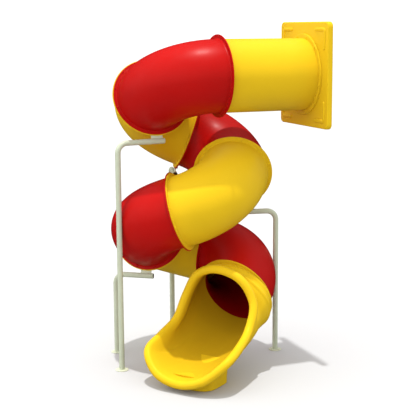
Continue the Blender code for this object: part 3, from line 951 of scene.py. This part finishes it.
def wall_rows():
    """Rows of the wall's middle surface and the unit normals on its outer side.

    Near the flange all columns of a row are at one distance from it. Further on they are at one
    share of their way to the roll. The first rows' distances are handed back too.
    """
    near = np.linspace(FLANGE_THICKNESS + FLANGE_FILLET, COLLAR_FALL[1], NEAR_ROWS)
    start_share = near[-1] / reach
    stop_share = 1.0 - ROLL_FILLET_RUN / reach
    shares = [distance / reach for distance in near]
    for part in np.linspace(0.0, 1.0, FAR_ROWS + 1)[1:]:
        shares.append(start_share + (stop_share - start_share) * part)
    for part in np.linspace(0.0, 1.0, FILLET_STEPS + 1)[1:]:
        shares.append(stop_share + (1.0 - stop_share) * part)
    rows = np.array([wall_row(share) for share in shares])
    beside = np.roll(rows, -1, axis=1) - np.roll(rows, 1, axis=1)
    normal = unit_rows(np.cross(np.gradient(rows, axis=0), beside))
    return near, rows, normal * np.sign((normal[0] * outward).sum())


def collar_lift(near):
    """How far the collar stands out from the wall at each distance from the flange.

    It stays level and then falls as a cosine, and it swells with the squared sine of the angle
    round the flange, so only at the sides. The ridges on it are small cosine swells.
    """
    fall = np.clip((near - COLLAR_FALL[0]) / (COLLAR_FALL[1] - COLLAR_FALL[0]), 0.0, 1.0)
    from_ridge = np.abs(near[:, None] - np.array(RIDGE_DISTANCES)).min(axis=1) / RIDGE_HALF_WIDTH
    ridge = 0.5 * (1.0 + np.cos(math.pi * np.clip(from_ridge, 0.0, 1.0)))
    swell = 0.5 * (1.0 + np.cos(math.pi * fall))
    return COLLAR_SWELL * swell[:, None, None] * sideward + RIDGE_HEIGHT * ridge[:, None, None]


near_flange, chute_middle, wall_normal = wall_rows()
lift = np.zeros((len(chute_middle), EXIT_COLUMNS, 1))
lift[:NEAR_ROWS] = collar_lift(near_flange)
print("the collar stands out by up to", lift.max().round(3), "m")

# %% [markdown]
# ### One closed shell
#
# The outer skin runs from the flange over the collar's ridges to the roll, round the roll and back
# through the bowl. The bowl gets painted shade, strongest at its throat and none at the rim.

# %% Flange, walls and roll as one shell
# Painted shade in the chute's throat, as a share of a bore's full painted shade
THROAT_PAINTED_SHADE = 0.75
CHUTE_FILLET = 0.7 * FLANGE_FILLET
ROLL_BACK = math.radians(150.0)
ROLL_INSIDE = math.radians(-90.0)
ROLL_STEPS = 28
FILLET_CORNER = (-0.0757, -0.037)


def flange_rings(wall_distance):
    """The flange's face, edge and back. The collar's swell squeezes the back's fillet at the sides."""
    corners = [(GAP / 2, TUBE_INNER_RADIUS), (GAP / 2, FLANGE_RADIUS), (FLANGE_THICKNESS, FLANGE_RADIUS),
               (FLANGE_THICKNESS, TUBE_OUTER_RADIUS), (wall_distance, TUBE_OUTER_RADIUS)]
    rounded = round_corners(corners, [0.0, FLANGE_EDGE, FLANGE_EDGE, CHUTE_FILLET, 0.0], closed=False)
    outline = refine(rounded, LONG_STEP, closed=False)[:-1]
    below_edge = (FLANGE_RADIUS - outline[:, 1])[:, None, None]
    squeeze = 1.0 - COLLAR_SWELL * sideward / (FLANGE_RADIUS - TUBE_OUTER_RADIUS)
    behind = (outline[:, 0] > 0.5 * FLANGE_THICKNESS)[:, None, None]
    radius = FLANGE_RADIUS - below_edge * np.where(behind, squeeze, 1.0)
    return exit_centre + outline[:, 0, None, None] * exit_heading + radius * outward


def roll_rings(wall_end):
    """A quadratic curve from the outer wall's last row to the roll's back, then an arc round the rim."""
    angle = np.linspace(ROLL_BACK, ROLL_INSIDE, ROLL_STEPS)[:, None, None]
    roll = rim + RIM_ROLL_RADIUS * (np.cos(angle) * arrive + np.sin(angle) * across_rim)
    share = np.linspace(0.0, 1.0, FILLET_STEPS + 2)[1:-1, None, None]
    corner = rim + FILLET_CORNER[0] * arrive + FILLET_CORNER[1] * across_rim
    fillet = (1 - share) ** 2 * wall_end + 2 * share * (1 - share) * corner + share ** 2 * roll[0]
    return np.concatenate([fillet, roll])


def chute_rings():
    """Flange, outer wall, roll and inner wall as rings, and how much painted shade each ring gets.

    The roll's inside runs straight into the inner wall, with no groove. The painted shade is one minus
    the squared way from the throat to the rim, times its value in the throat.
    """
    outer = (chute_middle + (0.5 * WALL + lift) * wall_normal)[:-FILLET_STEPS]
    inner = (chute_middle - 0.5 * WALL * wall_normal)[-2::-1]
    rings = np.concatenate([flange_rings(near_flange[0]), outer, roll_rings(outer[-1]), inner])
    inside = np.zeros(len(rings))
    inside[-len(inner):] = THROAT_PAINTED_SHADE * (1.0 - np.linspace(1.0, 0.0, len(inner)) ** 2)
    # The flange's inner edge gets the throat's painted shade as well
    inside[0] = THROAT_PAINTED_SHADE
    return rings, inside


exit_rings, chute_painted_shade = chute_rings()
finished_piece("scoop", wrap_up(exit_rings, True), "yellow_plastic", yellow,
               "exit_chute", inside=chute_painted_shade)

# %% [markdown]
# ### The floor above the foot
#
# A block under the chute's floor rests on the ground, and its top has to follow that floor. A
# Boolean could trim it there. Here a smooth polynomial through the chute's own grid gives the
# floor's height at any place, so the block's squares stay even.

# %% The floor's height
FOOT_BACK = 0.580
FOOT_FRONT = 1.070
FOOT_HALF_WIDTH = 0.280
FOOT_TOP_SINK = 0.0025
FIT_AHEAD = (0.50, 1.14)
FIT_BESIDE = 0.36
FIT_CEILING = -0.30
FIT_MIDDLE = 0.8
FIT_SCALE = 0.4
FIT_POWERS = (8, 6)
CHECK_MARGIN = 0.04


def floor_terms(flat):
    """Products of powers of forward and of sideways squared, scaled to stay near one."""
    ahead = (flat[:, 0] - FIT_MIDDLE) / FIT_SCALE
    beside = (flat[:, 1] / FIT_SCALE) ** 2
    powers = [(i, j) for i in range(FIT_POWERS[0]) for j in range(FIT_POWERS[1])]
    return np.stack([ahead ** i * beside ** j for i, j in powers], axis=1)


def fit_floor():
    """Least-squares polynomial through the wall's middle surface round the foot. Gives its factors."""
    grid = chute_middle.reshape(-1, 3) - exit_centre
    flat = np.stack([grid @ forward, grid @ sideways], axis=1)
    ahead, beside = flat[:, 0], np.abs(flat[:, 1])
    near = (ahead > FIT_AHEAD[0]) & (ahead < FIT_AHEAD[1]) & (beside < FIT_BESIDE)
    near &= grid[:, 2] < FIT_CEILING
    factors = np.linalg.lstsq(floor_terms(flat[near]), grid[near, 2], rcond=None)[0]
    over_foot = (near & (ahead > FOOT_BACK - CHECK_MARGIN) & (ahead < FOOT_FRONT + CHECK_MARGIN)
                 & (beside < FOOT_HALF_WIDTH + CHECK_MARGIN))
    error = np.abs(floor_terms(flat[over_foot]) @ factors - grid[over_foot, 2])
    print("floor fit over the foot, worst in mm:", round(1000 * error.max(), 1))
    return factors


floor_factors = fit_floor()


def floor_height(flat):
    """Height just under the middle of the floor's wall, at places given as forward and sideways."""
    return exit_centre[2] + floor_terms(flat) @ floor_factors - FOOT_TOP_SINK


# %% [markdown]
# ### The foot
#
# The moulding's hollow block widens softly into the floor. Its top stays inside the wall's
# thickness, so it shows neither in the chute nor as a gap.

# %% The foot
FOOT_CORNER_RADIUS = 0.150
FOOT_TAPER = 0.030
FOOT_FLARE_POWER = 2.5
FOOT_BOTTOM_EDGE = 0.012
FOOT_BOTTOM_RISE = 0.6 * FOOT_BOTTOM_EDGE
FOOT_COLUMNS = 120
FOOT_ROWS = 22
FOOT_CAP_ROWS = 12


def rounded_rectangle(half_length, half_width, corner, columns):
    """Circle points pushed out by the straight half sides, spread by the sign of each direction."""
    angle = full_turn(columns) + math.pi / columns
    cos, sin = np.cos(angle), np.sin(angle)
    return np.stack([np.sign(cos) * (half_length - corner) + corner * cos,
                     np.sign(sin) * (half_width - corner) + corner * sin], axis=1)


def foot_rings():
    """From the middle of the ground face out, up the flaring sides and in over the hidden top."""
    middle = np.array([0.5 * (FOOT_BACK + FOOT_FRONT), 0.0])
    half_length = 0.5 * (FOOT_FRONT - FOOT_BACK)
    ground = np.array([exit_centre[0], exit_centre[1], 0.0])

    def level(flat, height):
        """Points at places given as forward and sideways, at a height above the ground."""
        return ground + flat[:, :1] * forward + flat[:, 1:] * sideways + np.reshape(height, (-1, 1)) * UP

    def outline(widen):
        """The foot's rounded rectangle, wider by so much on every side."""
        half_width = FOOT_HALF_WIDTH + widen
        return middle + rounded_rectangle(half_length + widen, half_width, FOOT_CORNER_RADIUS, FOOT_COLUMNS)

    bottom = outline(-FOOT_BOTTOM_EDGE) - middle
    rings = [level(middle + part * bottom, 0.0) for part in (0.0, 0.5, 1.0)]
    top_height = floor_height(outline(FOOT_TAPER))
    for share in np.linspace(0.0, 1.0, FOOT_ROWS):
        widen = FOOT_TAPER * share ** FOOT_FLARE_POWER
        rings.append(level(outline(widen), FOOT_BOTTOM_RISE + share * (top_height - FOOT_BOTTOM_RISE)))
    for part in np.linspace(1.0, 0.0, FOOT_CAP_ROWS)[1:]:
        flat = middle + part * (outline(FOOT_TAPER) - middle)
        rings.append(level(flat, floor_height(flat)))
    return np.array(rings)


finished_piece("chute_foot", wrap_up(foot_rings(), False), "yellow_plastic", yellow)

# %% [markdown]
# ## Posts
#
# Each post is one length of sixty millimetre pipe, bent over at the top so that its arm passes just
# under a joint. A curve with a bevel would draw it too. Carrying a circle along the same straight,
# bend, straight path as the tubes keeps the pipe's rings square to it and its ends closed.

# %% Where the posts stand
PIPE_RADIUS = 0.030
PIPE_BEND_RADIUS = 0.105
PIPE_SIDES = 48
ARM_DROP = 0.062
ARM_OVERRUN = 0.080
CAP_THICKNESS = 0.006
BASE_RADIUS = 0.072
BASE_THICKNESS = 0.008
BRACKET_WIDTH = 0.130
BRACKET_THICKNESS = 0.008
BRACKET_LAP = 0.032
# By joint: how far out from the arm's crown the post stands, and how far the arm swings from square
POSTS = {
    2: (0.470, math.radians(10.5)),
    3: (0.460, 0.0),
    4: (0.495, math.radians(13.0)),
    6: (0.365, math.radians(4.5)),
}


def post_places(number):
    """Crown of the arm under the joint, the way out to the post, and the bracket's plane."""
    centre, heading = joints[number - 1][:2]
    reach_out, swing = POSTS[number]
    level_heading = unit(np.array([heading[0], heading[1], 0.0]))
    across = np.cross(UP, level_heading)
    flange_up = np.cross(heading, across)
    flange_up = flange_up if flange_up[2] > 0.0 else -flange_up
    arm_height = (centre - FLANGE_RADIUS * flange_up)[2] - ARM_DROP
    plate_face = centre - (FLANGE_RADIUS - BRACKET_LAP) * flange_up + (FLANGE_THICKNESS + GAP) * heading
    drop = (plate_face[2] - (arm_height + PIPE_RADIUS + GAP)) / flange_up[2]
    foot_middle = plate_face - drop * flange_up + 0.5 * BRACKET_THICKNESS * level_heading
    away = math.cos(swing) * across - math.sin(swing) * level_heading
    crown = np.array([foot_middle[0], foot_middle[1], arm_height])
    return {"crown": crown, "away": away, "stand": crown + reach_out * away, "reach": reach_out,
            "across": across, "heading": heading, "level": level_heading, "up": flange_up,
            "plate_face": plate_face, "drop": drop}


spots = {number: post_places(number) for number in POSTS}
print("heights of the arms:", [round(float(spot["crown"][2]), 3) for spot in spots.values()])

# %% [markdown]
# ### Pipe, painted shade in its end, and base
#
# A post is cut from pipe with a thin wall. A round plate is welded under it and anchored by four low
# bolt heads. At the arm's end the wall shows as a pale rim round a near-black disc, painted shade that
# stands for the dark inside of the open pipe.

# %% Pipes, painted shade discs and round base plates
PIPE_WALL = 0.0036
SHADE_DISC_DEPTH = 0.0015
RIM_EDGE = 0.0012
SHADE_DISC_EDGE = 0.001
PLATE_EDGE = 0.002
SMALL_ARC_STEPS = 3
BEAD_RADIUS = 0.0045
BEAD_RIPPLES = 46
BEAD_RIPPLE_DEPTH = 0.12
BEAD_SIDES = 10


def solid_round(length, radius, edge, place, sides):
    """A round bar whose ends close on its axis, with both of its end edges rounded."""
    corners = [(0.0, 0.0), (0.0, radius), (length, radius), (length, 0.0)]
    outline = round_corners(corners, [0.0, edge, edge, 0.0], closed=False, steps=SMALL_ARC_STEPS)
    return wrap_up(carried_round(refine(outline, LONG_STEP, closed=False), place, sides), False)


def weld_bead(centre, normal, across, radius):
    """A small ring, half sunk into the two pieces that it joins, whose radius ripples as a cosine."""
    angle = full_turn(4 * BEAD_RIPPLES)[None, :, None]
    turn = full_turn(BEAD_SIDES)[:, None, None]
    thick = BEAD_RADIUS * (1.0 + BEAD_RIPPLE_DEPTH * np.cos(BEAD_RIPPLES * angle))
    out = np.cos(angle) * across + np.sin(angle) * np.cross(normal, across)
    return wrap_up(centre + (radius + thick * np.cos(turn)) * out + thick * np.sin(turn) * normal, True)


def make_pipe(number, spot):
    """The post and its arm as one bent bar."""
    stand, crown = spot["stand"], spot["crown"]
    start = np.array([stand[0], stand[1], BASE_THICKNESS + GAP])
    lead = crown[2] - PIPE_BEND_RADIUS - start[2]
    arm = spot["reach"] + ARM_OVERRUN - PIPE_BEND_RADIUS
    path = bent_path(start, UP, -spot["away"], lead, PIPE_BEND_RADIUS, 0.5 * math.pi)
    length = lead + 0.5 * math.pi * PIPE_BEND_RADIUS + arm
    pipe = solid_round(length, PIPE_RADIUS, BORE_EDGE, path, PIPE_SIDES)
    finished_piece(f"pipe_{number}", pipe, "post_coating", post_coat, f"post_{number}")


def make_arm_end(number, spot):
    """The pipe's wall as a rim, and in it a near-black disc of painted shade, set back a little."""
    path = straight_path(spot["crown"] - (ARM_OVERRUN + GAP) * spot["away"], -spot["away"], UP)
    bore = PIPE_RADIUS - PIPE_WALL
    radii = [0.0, 0.0, RIM_EDGE, RIM_EDGE]
    outline = sleeve_outline(CAP_THICKNESS, bore, PIPE_RADIUS, radii, steps=SMALL_ARC_STEPS)
    finished_piece(f"pipe_rim_{number}", wrap_up(carried_round(outline, path, PIPE_SIDES), True),
                   "plate_coating", plate_coat, f"arm_cap_{number}")
    # Painted shade: a near-black disc standing for the dark inside of the open pipe end
    shade_disc = solid_round(CAP_THICKNESS - SHADE_DISC_DEPTH, bore - GAP, SHADE_DISC_EDGE, path, PIPE_SIDES)
    finished_piece(f"insert_{number}", shade_disc, "plate_coating", open_end_shade)


def make_base(number, spot):
    """The round plate on the ground, and the weld on it round the post."""
    ground = np.array([spot["stand"][0], spot["stand"][1], 0.0])
    path = straight_path(ground, UP, spot["away"])
    base = solid_round(BASE_THICKNESS, BASE_RADIUS, PLATE_EDGE, path, 2 * PIPE_SIDES)
    finished_piece(f"round_base_{number}", base, "plate_coating", plate_coat, f"base_plate_{number}")
    bead = weld_bead(ground + BASE_THICKNESS * UP, UP, spot["away"], PIPE_RADIUS)
    finished_piece(f"weld_{number}", bead, "post_coating", post_coat)


for number, spot in spots.items():
    make_pipe(number, spot)
    make_arm_end(number, spot)
    make_base(number, spot)

# %% [markdown]
# ## Brackets
#
# A short flat plate is welded on each arm and bolted to the back of the flange above it. A bevelled
# box would do if it weren't slanted. Its outline is the four-sided section that the flange and the
# arm leave for it, rounded a little, and carried straight across.

# %% Bracket plates
BRACKET_EDGE = 0.002
BRACKET_EDGE_STEPS = 3


def bracket_rings(spot):
    """The plate's rounded section at stations across its width, drawn in slightly at both ends."""
    low = spot["plate_face"] - spot["drop"] * spot["up"]
    low_back = low + BRACKET_THICKNESS * spot["level"] / (spot["level"] @ spot["heading"])
    high_back = spot["plate_face"] + BRACKET_THICKNESS * spot["heading"]
    corners = [low, low_back, high_back, spot["plate_face"]]
    section = round_corners(corners, [BRACKET_EDGE] * 4, steps=SMALL_ARC_STEPS)
    middle = section.mean(axis=0)
    inset, pull = edge_round(BRACKET_EDGE, BRACKET_EDGE_STEPS)
    half = 0.5 * BRACKET_WIDTH
    stations = np.concatenate([[half], half - pull, pull[::-1] - half, [-half]])
    narrowed = 1.0 - inset / (0.5 * BRACKET_THICKNESS)
    scale = np.concatenate([[0.0], narrowed, narrowed[::-1], [0.0]])
    return (middle + scale[:, None, None] * (section - middle)[None]
            + stations[:, None, None] * spot["across"])


for number, spot in spots.items():
    finished_piece(f"bracket_plate_{number}", wrap_up(bracket_rings(spot), False),
                   "plate_coating", plate_coat, f"bracket_{number}")

# %% [markdown]
# ## Bolt covers
#
# Twelve bolts close each joint, with a rounded plastic cover on both sides in the colour of the
# flange there, and twelve more hold the clamp ring. Instances could repeat one cover. Here its small
# outline is carried round at every place, and all covers of one colour are a single light piece.

# %% One cover, many places
BOLTS_A_JOINT = 12
BOLT_CIRCLE = 0.414
COVER_RADIUS = 0.010
COVER_HEIGHT = 0.006
COVER_SIDES = 14
DOME_SKIRT = 0.35
DOME_SINK = 0.001
DOME_STEPS = 4
NEARLY_UPRIGHT = 0.9


def placed_copies(outline, stands, sides):
    """Copies of one turned shape, each standing on its centre along its normal."""
    shapes = []
    for centre, normal in stands:
        across = unit(np.cross(normal, UP if abs(normal[2]) < NEARLY_UPRIGHT else TO_PANEL))
        shapes.append(wrap_up(carried_round(outline, straight_path(centre, normal, across), sides), False))
    return join_shapes(shapes)


def dome_outline(radius, height):
    """Quarter ellipse on a short skirt, sunk a little into its seat, as height and radius."""
    turn = np.linspace(0.0, 0.5 * math.pi, DOME_STEPS + 1)
    rise = DOME_SKIRT * height + (1.0 - DOME_SKIRT) * height * np.sin(turn)
    dome = np.stack([rise, radius * np.cos(turn)], axis=1)
    return np.concatenate([[(-DOME_SINK, 0.0), (-DOME_SINK, radius)], dome])


def bolt_ring(centre, first, second, radius, count):
    """Places round a circle in the plane of two directions, half a step off the first of them."""
    angle = ((np.arange(count) + 0.5) / count * 2.0 * math.pi)[:, None]
    return centre + radius * (np.cos(angle) * first + np.sin(angle) * second)


covers = {"red": [], "yellow": []}
for number, (centre, heading, inward) in enumerate(joints, start=1):
    across = unit(np.cross(UP, heading))
    places = bolt_ring(centre, np.cross(heading, across), across, BOLT_CIRCLE, BOLTS_A_JOINT)
    # The entry tube has no flange, so the first joint has covers on one side only
    if number > 1:
        before = places - FLANGE_THICKNESS * heading
        covers[section_colour(number - 1)] += [(place, -heading) for place in before]
    after = places + FLANGE_THICKNESS * heading
    covers[section_colour(number)] += [(place, heading) for place in after]
panel_places = bolt_ring(on_entry_axis(collar_low[0]), ALONG_PANEL, UP, BOLT_CIRCLE, BOLTS_A_JOINT)
covers["yellow"] += [(place, FROM_PANEL) for place in panel_places]
cover = dome_outline(COVER_RADIUS, COVER_HEIGHT)
for colour, stands in covers.items():
    finished_piece(f"bolt_covers_{colour}", placed_copies(cover, stands, COVER_SIDES),
                   f"{colour}_plastic", PLASTICS[colour])

# %% [markdown]
# ### Steel fasteners
#
# Two zinc bolts with washers and nuts hold each bracket to the flange. The base plates have low round
# heads, coated with the plate, that no one trips over.

# %% Bracket bolts and anchor heads
BRACKET_BOLT_SPREAD = 0.036
BRACKET_BOLT_DROP = 0.45 * BRACKET_LAP
WASHER_RADIUS = 0.012
WASHER_HEIGHT = 0.002
WASHER_SIDES = 20
NUT_RADIUS = 0.0098
NUT_TOP_RADIUS = 0.88 * NUT_RADIUS
NUT_HEIGHT = 0.009
NUT_SIDES = 6
STUD_RADIUS = 0.006
STUD_TOP_RADIUS = 0.8 * STUD_RADIUS
STUD_HEIGHT = 0.018
STUD_SIDES = 10
TOP_EDGE = 0.001
ANCHORS_A_PLATE = 4
ANCHOR_CIRCLE = 0.053
ANCHOR_RADIUS = 0.010
ANCHOR_HEIGHT = 0.007
ANCHOR_SIDES = 16


def stack_outline(steps):
    """Turned stack: each step is a height and the radius up to there, closed on the axis."""
    outline = [(0.0, 0.0)]
    low = 0.0
    for high, radius in steps:
        outline += [(low, radius), (high, radius)]
        low = high
    return np.array(outline + [(low, 0.0)])


bolts, anchors = [], []
for spot in spots.values():
    lap_middle = spot["plate_face"] - BRACKET_BOLT_DROP * spot["up"]
    for way in (-1.0, 1.0):
        place = lap_middle + way * BRACKET_BOLT_SPREAD * spot["across"] + BRACKET_THICKNESS * spot["heading"]
        bolts.append((place, spot["heading"]))
    plate_top = np.array([spot["stand"][0], spot["stand"][1], BASE_THICKNESS])
    side = np.cross(UP, spot["away"])
    anchor_places = bolt_ring(plate_top, spot["away"], side, ANCHOR_CIRCLE, ANCHORS_A_PLATE)
    anchors += [(place, UP) for place in anchor_places]
on_washers = [(place + WASHER_HEIGHT * normal, normal) for place, normal in bolts]

washer = stack_outline([(WASHER_HEIGHT, WASHER_RADIUS)])
nut = stack_outline([(NUT_HEIGHT - TOP_EDGE, NUT_RADIUS), (NUT_HEIGHT, NUT_TOP_RADIUS)])
stud = stack_outline([(STUD_HEIGHT - TOP_EDGE, STUD_RADIUS), (STUD_HEIGHT, STUD_TOP_RADIUS)])
head = dome_outline(ANCHOR_RADIUS, ANCHOR_HEIGHT)
finished_piece("washers", placed_copies(washer, bolts, WASHER_SIDES), "plate_coating", zinc)
finished_piece("nuts", placed_copies(nut, on_washers, NUT_SIDES), "plate_coating", zinc)
finished_piece("studs", placed_copies(stud, bolts, STUD_SIDES), "plate_coating", zinc)
finished_piece("anchor_heads", placed_copies(head, anchors, ANCHOR_SIDES), "plate_coating", plate_coat)
